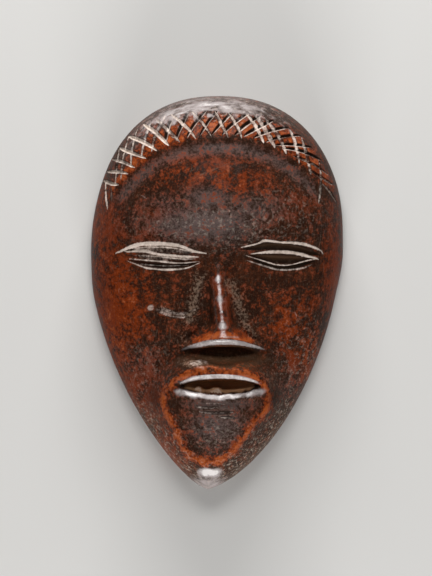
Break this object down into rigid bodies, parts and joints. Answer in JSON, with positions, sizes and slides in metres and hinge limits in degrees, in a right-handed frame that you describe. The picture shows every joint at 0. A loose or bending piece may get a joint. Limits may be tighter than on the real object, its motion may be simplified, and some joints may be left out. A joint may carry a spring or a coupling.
{
  "type": "carved wooden face mask",
  "caption": "Small carved hardwood face mask, egg-shaped, hollow behind a flat rim, with cross-hatched hair, slit eyes, a long flared nose and parted lips.",
  "frame": {"origin": "centre of the bounding box at the back rim's plane, where the mask lies on a surface", "axes": "+X to the right of the face as seen, +Y from chin to crown, +Z out of the face"},
  "size_m": [0.0705, 0.11, 0.031],
  "materials": {
    "patinated_wood": "handled dark brown patina, semi-gloss, worn to red-orange on the high edges, pale dust in the cuts"
  },
  "bodies": {
    "root": {"mask": "patinated_wood"}
  },
  "joints": []
}
